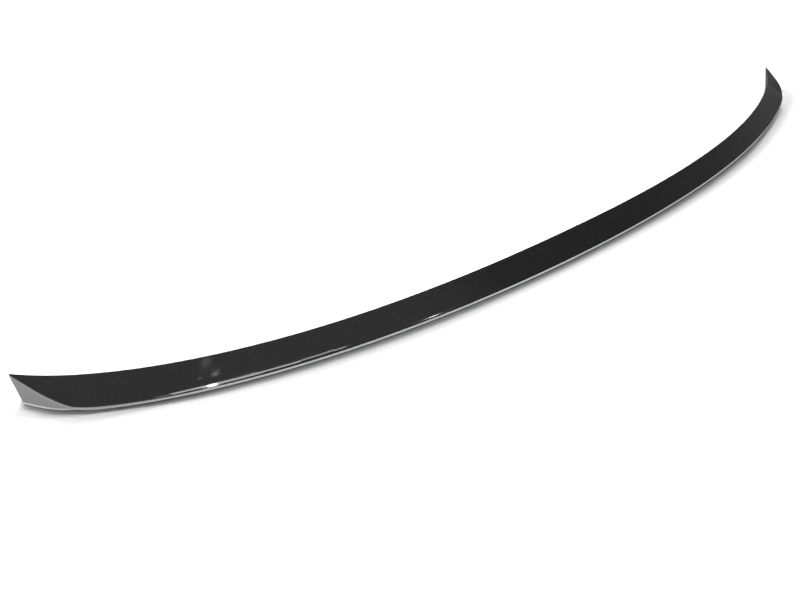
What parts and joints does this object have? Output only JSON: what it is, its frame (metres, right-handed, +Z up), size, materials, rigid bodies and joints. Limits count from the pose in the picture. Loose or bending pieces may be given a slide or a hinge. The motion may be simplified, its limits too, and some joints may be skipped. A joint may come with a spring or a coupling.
{
  "type": "car boot-lid lip spoiler",
  "caption": "Long bowed lip spoiler moulded in one piece, with a sloping gloss face, raised pointed ends and an open channel underneath.",
  "frame": {"origin": "middle of the box around the part, on the plane of its bonding rim", "axes": "+X runs across the car from tip to tip, -Y is the bowed side that the face looks to, +Z is up from the bonding rim"},
  "size_m": [1.18, 0.1612, 0.0262],
  "materials": {
    "gloss_black": "gloss black moulded plastic"
  },
  "bodies": {
    "root": {"lip_moulding": "gloss_black"}
  },
  "joints": []
}
